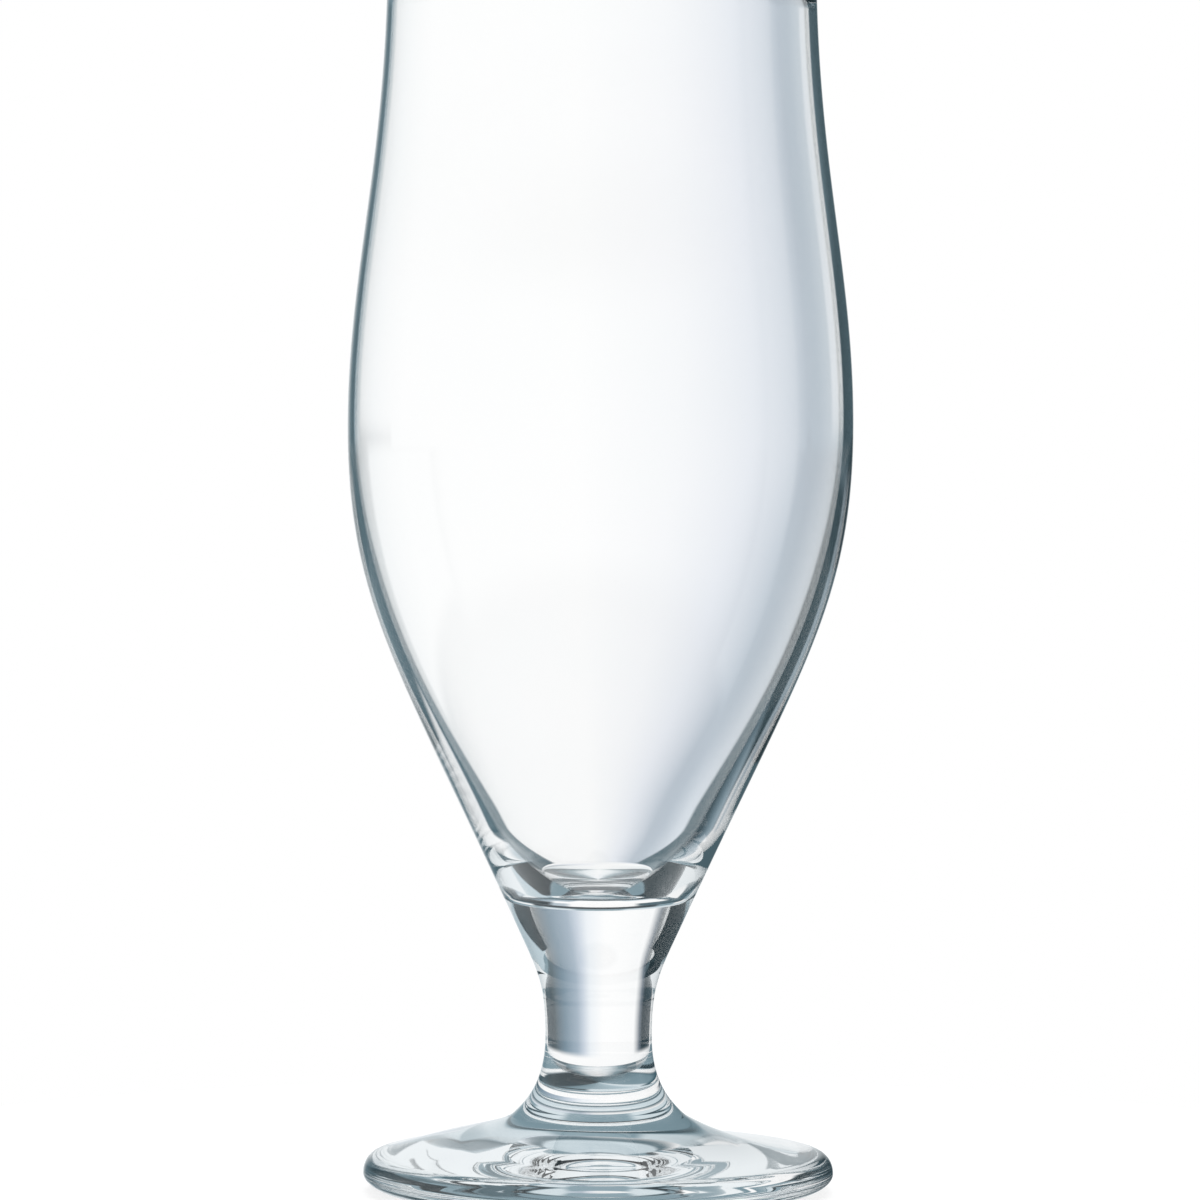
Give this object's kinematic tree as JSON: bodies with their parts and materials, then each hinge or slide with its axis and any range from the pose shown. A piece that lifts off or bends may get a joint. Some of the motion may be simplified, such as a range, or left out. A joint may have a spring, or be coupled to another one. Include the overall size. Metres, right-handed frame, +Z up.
{
  "type": "tulip beer glass",
  "caption": "Clear stemmed tulip beer glass: an open bowl that swells and draws in to the rim, on a short waisted stem and a round flat foot.",
  "frame": {"origin": "centre of the ring that the foot stands on, at table level", "axes": "+Z up along the glass's axis of revolution; +X and +Y are free, since the glass is round"},
  "size_m": [0.081, 0.081, 0.192],
  "materials": {
    "clear_glass": "polished, colourless, clear"
  },
  "bodies": {
    "root": {"bowl": "clear_glass", "stem": "clear_glass", "foot": "clear_glass"}
  },
  "joints": []
}
